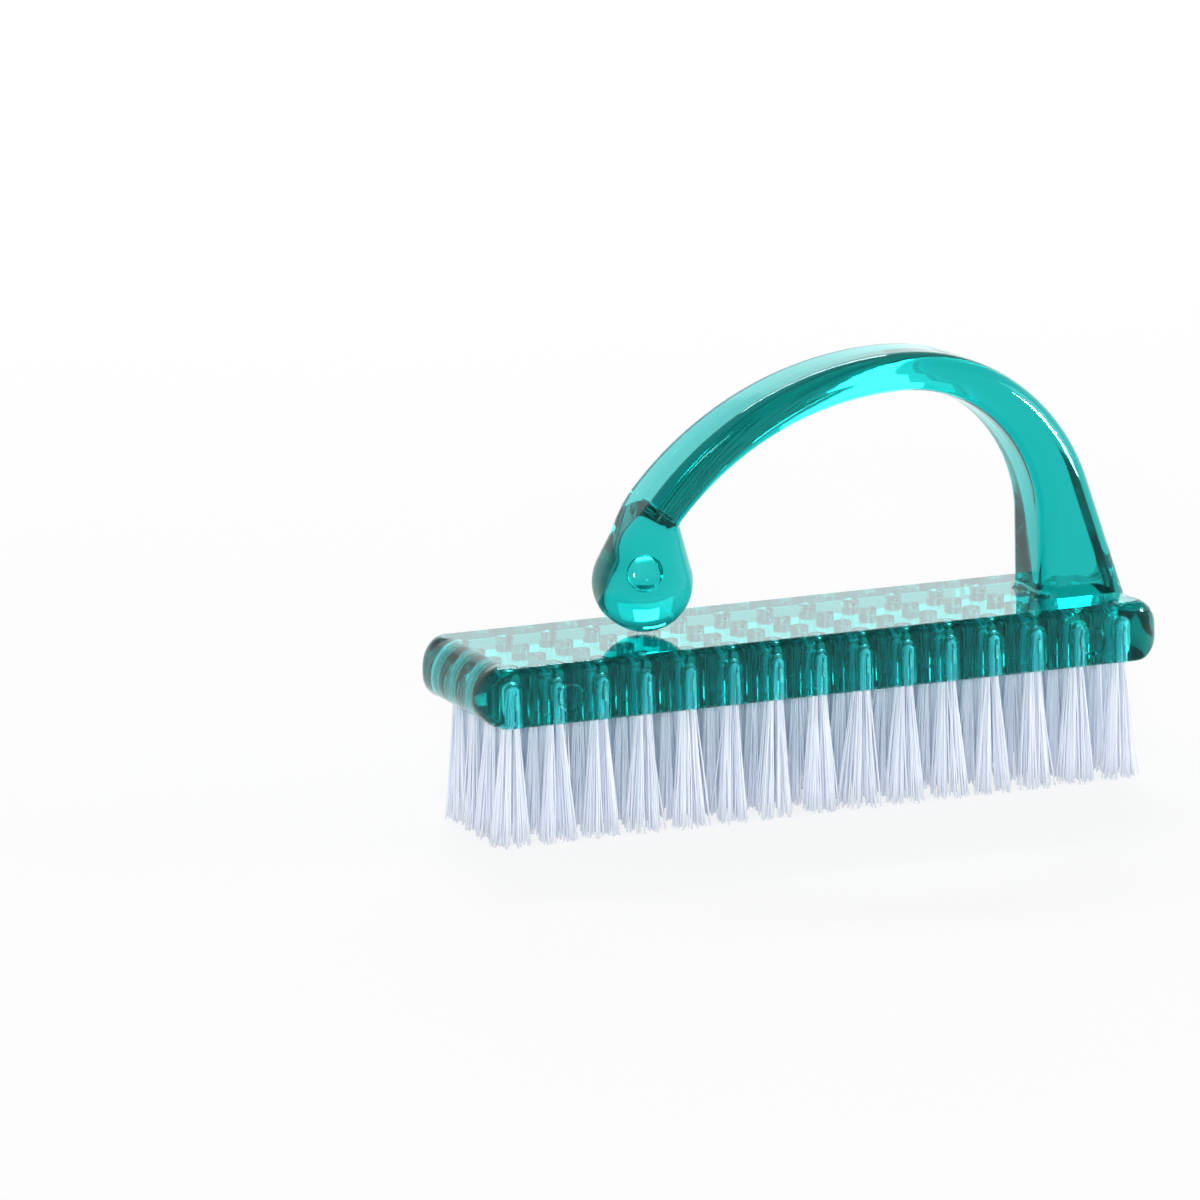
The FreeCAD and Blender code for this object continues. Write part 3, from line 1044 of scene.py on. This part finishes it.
@dataclass
class AnchorRows:
    """The strips of flat wire as packed, which show where the tufts stand. Sizes in millimetres."""

    rows: int = 15
    across: int = 4
    strip_width: float = 2.9

    def node(self, row: int) -> str:
        """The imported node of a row, counted from 1."""
        return f"anchor_row_{row:02d}"

    def places(self, row: int) -> list[Point2]:
        """The tufts' places in one row, in millimetres.

        Args:
            row: The row's number, from 1.

        Returns:
            The places along and across the brush.
        """
        low, high = (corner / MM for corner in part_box(self.node(row)))
        pitch = (high.y - low.y - self.strip_width) / (self.across - 1)
        first = low.y + self.strip_width / 2
        return [((low.x + high.x) / 2, first + pitch * index) for index in range(self.across)]

    def dress(self, row: int, finish: bpy.types.Material) -> bpy.types.Object:
        """Give one row of strips its finish.

        Args:
            row: The row's number, from 1.
            finish: Its material.

        Returns:
            The row's packed object.
        """
        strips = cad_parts[self.node(row)]
        strips.data.materials.clear()
        strips.data.materials.append(finish)
        return strips


# Studio


@dataclass
class Camera:
    """The photograph's view. Pixels are in its frame, lengths in millimetres, angles in degrees."""

    azimuth: float = -23.06
    elevation: float = 11.75
    roll: float = -1.0
    distance: float = 1200.0
    pixels_per_mm: float = 7.837
    frame_pixels: float = 1200.0
    target: tuple[float, float, float] = (0.0, 0.0, 31.0)
    target_pixel: Point2 = (789.4, 561.5)
    sensor: float = 36.0
    nearest: float = 50.0
    farthest: float = 50000.0

    def build(self) -> bpy.types.Object:
        """Make the camera and use it.

        Returns:
            The camera.
        """
        data = bpy.data.cameras.new("camera")
        camera = bpy.data.objects.new("camera", data)
        bpy.context.scene.collection.objects.link(camera)
        bpy.context.scene.camera = camera
        around, above = math.radians(self.azimuth), math.radians(self.elevation)
        level = math.cos(above)
        back = Vector((math.sin(around) * level, -math.cos(around) * level, math.sin(above)))
        focal = self.pixels_per_mm * self.distance
        right = self.target_pixel[0] - self.frame_pixels / 2
        up = self.frame_pixels / 2 - self.target_pixel[1]
        aim = (-back).to_track_quat("-Z", "Y").to_matrix()
        aim = aim @ Matrix.Rotation(math.radians(self.roll), 3, "Z")
        aim = aim @ Matrix.Rotation(math.atan(right / focal), 3, "Y")
        aim = aim @ Matrix.Rotation(-math.atan(up / focal), 3, "X")
        place = (Vector(self.target) + back * self.distance) * MM
        camera.matrix_world = Matrix.Translation(place) @ aim.to_4x4()
        data.sensor_width = self.sensor
        data.lens = focal / self.frame_pixels * self.sensor
        data.clip_start = self.nearest * MM
        data.clip_end = self.farthest * MM
        return camera


@dataclass(frozen=True)
class Softbox:
    """A soft lamp. Places and sizes in metres, power in watts."""

    name: str
    place: tuple[float, float, float]
    width: float
    height: float
    power: float
    reach: Reach = Reach.ALL

    def build(self, target: Vector) -> None:
        """Make the lamp and turn it to a point.

        Args:
            target: The point that it lights.
        """
        data = bpy.data.lights.new(self.name, "AREA")
        data.shape = "RECTANGLE"
        data.size = self.width
        data.size_y = self.height
        data.energy = self.power
        lamp = bpy.data.objects.new(self.name, data)
        lamp.location = self.place
        lamp.rotation_euler = (target - lamp.location).to_track_quat("-Z", "Y").to_euler()
        lamp.visible_diffuse = self.reach is not Reach.GLOSS
        lamp.visible_glossy = self.reach is not Reach.MATT
        bpy.context.scene.collection.objects.link(lamp)


@dataclass
class Studio:
    """White surroundings, a pale floor and soft lamps."""

    bounces: int = 96
    diffuse_bounces: int = 16
    ambient: float = 0.55
    ceiling: float = 0.4
    ceiling_band: Point2 = (0.25, 0.6)
    lamp_target: tuple[float, float, float] = (0.0, 0.0, 0.03)
    floor_radius: float = 3.0
    floor_sides: int = 96
    floor_gap: float = 0.05
    floor_colour: Colour = (0.93, 0.93, 0.93, 1.0)
    floor_roughness: float = 0.9
    floor_glow: Point2 = (0.4, 0.78)
    lamps: tuple[Softbox, ...] = (
        Softbox("key", (-0.5, -0.8, 1.1), 0.3, 0.2, 2.0),
        Softbox("fill", (-0.56, -1.32, 0.33), 0.3, 0.2, 9.0, Reach.MATT),
        Softbox("side", (1.0, -0.4, 0.35), 0.4, 0.45, 1.8),
        Softbox("back", (0.2, 1.0, 0.9), 0.6, 0.12, 4.0),
        Softbox("rear_fill", (0.5, 1.3, 0.42), 0.6, 0.4, 6.0, Reach.MATT),
        Softbox("side_gleam", (0.66, -0.47, 0.14), 0.16, 0.26, 20.0, Reach.GLOSS),
        Softbox("backdrop_gleam", (0.6, 1.4, 0.4), 1.6, 0.7, 1.6, Reach.GLOSS),
    )

    def build(self) -> None:
        """Make the surroundings, the floor and the lamps."""
        scene = bpy.context.scene
        scene.view_settings.view_transform = "Standard"
        scene.cycles.max_bounces = self.bounces
        scene.cycles.glossy_bounces = self.bounces
        scene.cycles.transmission_bounces = self.bounces
        scene.cycles.diffuse_bounces = self.diffuse_bounces
        self.build_world(scene)
        self.build_floor()
        for lamp in self.lamps:
            lamp.build(Vector(self.lamp_target))

    def seen_directly(self, tree: bpy.types.NodeTree) -> bpy.types.NodeSocket:
        """1 for camera, glossy and transmission rays, 0 for the rest.

        Args:
            tree: The tree that gets the nodes.

        Returns:
            The socket with that value.
        """
        path = add_node(tree, "ShaderNodeLightPath")
        seen = path.outputs["Is Camera Ray"]
        for name in ("Is Glossy Ray", "Is Transmission Ray"):
            either = add_node(tree, "ShaderNodeMath", operation="MAXIMUM")
            tree.links.new(seen, either.inputs[0])
            tree.links.new(path.outputs[name], either.inputs[1])
            seen = either.outputs["Value"]
        return seen

    def build_world(self, scene: bpy.types.Scene) -> None:
        """White to look at, and a plain even light.

        Args:
            scene: The scene that gets the world.
        """
        world = bpy.data.worlds.new("studio")
        scene.world = world
        world.use_nodes = True
        tree = world.node_tree
        level = add_range(tree, self.seen_directly(tree), given=(self.ambient, 1.0))
        strength = add_node(tree, "ShaderNodeMath", operation="MULTIPLY")
        tree.links.new(level, strength.inputs[0])
        tree.links.new(self.ceiling_share(tree), strength.inputs[1])
        background = tree.nodes["Background"]
        background.inputs["Color"].default_value = WHITE
        tree.links.new(strength.outputs["Value"], background.inputs["Strength"])

    def ceiling_share(self, tree: bpy.types.NodeTree) -> bpy.types.NodeSocket:
        """How bright the surroundings mirror: 1 to the sides, less overhead.

        Args:
            tree: The world's tree.

        Returns:
            The socket with that value.
        """
        place = add_node(tree, "ShaderNodeTexCoord")
        parts = add_node(tree, "ShaderNodeSeparateXYZ")
        tree.links.new(place.outputs["Generated"], parts.inputs["Vector"])
        overhead = add_range(tree, parts.outputs["Z"], self.ceiling_band, (0.0, 1.0 - self.ceiling))
        path = add_node(tree, "ShaderNodeLightPath")
        mirrored = add_node(tree, "ShaderNodeMath", operation="MULTIPLY")
        share = add_node(tree, "ShaderNodeMath", operation="SUBTRACT")
        share.inputs[0].default_value = 1.0
        tree.links.new(overhead, mirrored.inputs[0])
        tree.links.new(path.outputs["Is Glossy Ray"], mirrored.inputs[1])
        tree.links.new(mirrored.outputs["Value"], share.inputs[1])
        return share.outputs["Value"]

    def build_floor(self) -> None:
        """A round pale floor just under the bristle tips, which keeps the brush's shadow."""
        shape = bmesh.new()
        bmesh.ops.create_circle(shape, cap_ends=True, segments=self.floor_sides, radius=self.floor_radius)
        floor = object_from("floor", shape)
        floor.location.z = -self.floor_gap * MM
        material = bpy.data.materials.new("pale_floor")
        material.use_nodes = True
        tree = material.node_tree
        shader = tree.nodes["Principled BSDF"]
        shader.inputs["Base Color"].default_value = self.floor_colour
        shader.inputs["Roughness"].default_value = self.floor_roughness
        shader.inputs["Specular IOR Level"].default_value = 0.0
        glow = add_node(tree, "ShaderNodeEmission")
        share = add_range(tree, self.seen_directly(tree), given=self.floor_glow)
        mix = add_node(tree, "ShaderNodeMixShader")
        tree.links.new(share, mix.inputs["Fac"])
        tree.links.new(shader.outputs["BSDF"], mix.inputs[1])
        tree.links.new(glow.outputs["Emission"], mix.inputs[2])
        tree.links.new(mix.outputs["Shader"], tree.nodes["Material Output"].inputs["Surface"])
        floor.data.materials.append(material)


def main() -> None:
    """Build the studio and the brush, piece by piece."""
    logging.basicConfig(level=logging.INFO, format="%(name)s: %(message)s")
    flow = make_flow_group()
    plastic = ClearPlastic("clear_teal_plastic", flow_scale=60.0, speck_scale=700.0,
                           smooth=0.015, dull=0.06, bump=0.15).build(flow)
    nylon = NylonFilament("nylon_filament", flow_scale=300.0, speck_scale=2500.0,
                          smooth=0.3, dull=0.5, bump=0.1).build(flow)
    wire = FlatWire("flat_wire", flow_scale=400.0, speck_scale=3000.0,
                    smooth=0.2, dull=0.4, bump=0.2).build(flow)
    Camera().build()
    Studio().build()

    anchors = AnchorRows()
    rows = range(1, anchors.rows + 1)
    body = BrushBody()
    moulding = body.build([place for row in rows for place in anchors.places(row)])
    body.dress(moulding, plastic)
    log.info("%s: %d faces", moulding.name, len(moulding.data.polygons))
    filaments = Filaments()
    for row in rows:
        bristles = filaments.build(row, anchors.places(row), body.floor)
        filaments.dress(bristles, row, nylon)
        log.info("%s: %d faces", bristles.name, len(bristles.data.polygons))
        strips = anchors.dress(row, wire)
        log.info("%s: %d faces", strips.name, len(strips.data.polygons))


if __name__ == "__main__":
    main()
